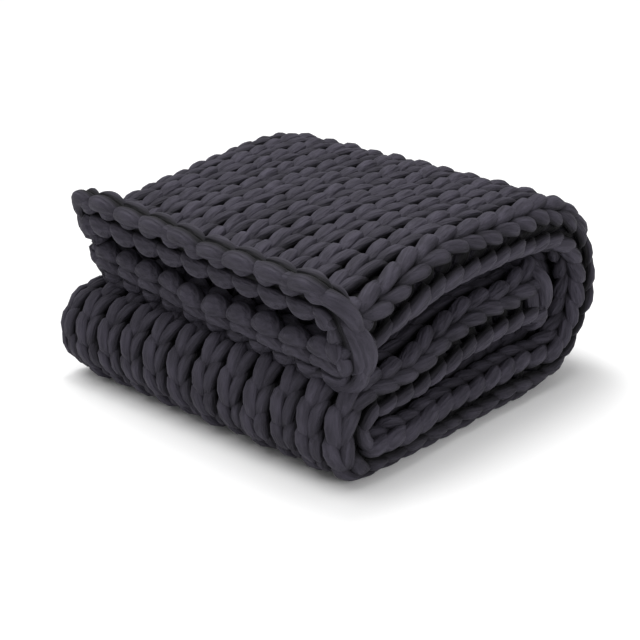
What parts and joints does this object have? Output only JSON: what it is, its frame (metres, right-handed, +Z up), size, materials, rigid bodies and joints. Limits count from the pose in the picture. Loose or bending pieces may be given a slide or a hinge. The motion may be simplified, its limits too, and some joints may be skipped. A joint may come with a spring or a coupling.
{
  "type": "weighted blanket",
  "caption": "Chunky hand-knit weighted blanket in charcoal, folded in half and then in thirds into a thick square pile with rolled ends.",
  "frame": {"origin": "middle of the underside of the folded pile, on the surface it lies on", "axes": "+X along the folded length, towards the big fold; +Y across the width, from the doubled-over long side to the open side; +Z up"},
  "size_m": [0.6254, 0.6222, 0.3217],
  "materials": {
    "knit": "matte charcoal jersey tube yarn, knitted"
  },
  "bodies": {
    "root": {"blanket": "knit"}
  },
  "joints": []
}
